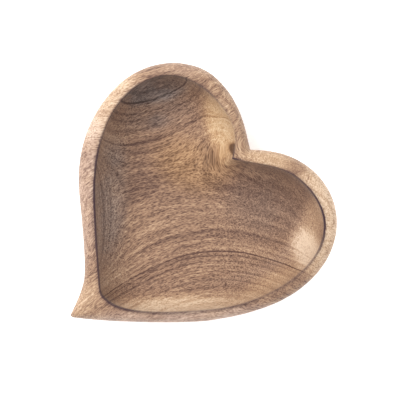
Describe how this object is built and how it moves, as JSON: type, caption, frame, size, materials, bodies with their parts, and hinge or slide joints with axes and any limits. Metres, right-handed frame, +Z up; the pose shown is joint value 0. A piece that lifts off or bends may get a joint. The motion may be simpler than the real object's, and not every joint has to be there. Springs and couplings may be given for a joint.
{
  "type": "heart-shaped dish",
  "caption": "Heart-shaped dish carved from solid wood, with a rounded outside, a crisp inner lip, a coved hollow and a tip that swings to one side.",
  "frame": {"origin": "middle of the dish's bounding box, on the flat foot it rests on", "axes": "+Z up out of the hollow, +Y towards the lobes and the notch, -Y towards the tip, whose end lies 13 mm to -X"},
  "size_m": [0.203, 0.204, 0.042],
  "materials": {
    "carved_wood": "hand-sanded bare wood with a light satin wax: mid brown with dark figured grain, pale sapwood patches and a scorched line inside the lip"
  },
  "bodies": {
    "root": {"carved_dish": "carved_wood"}
  },
  "joints": []
}
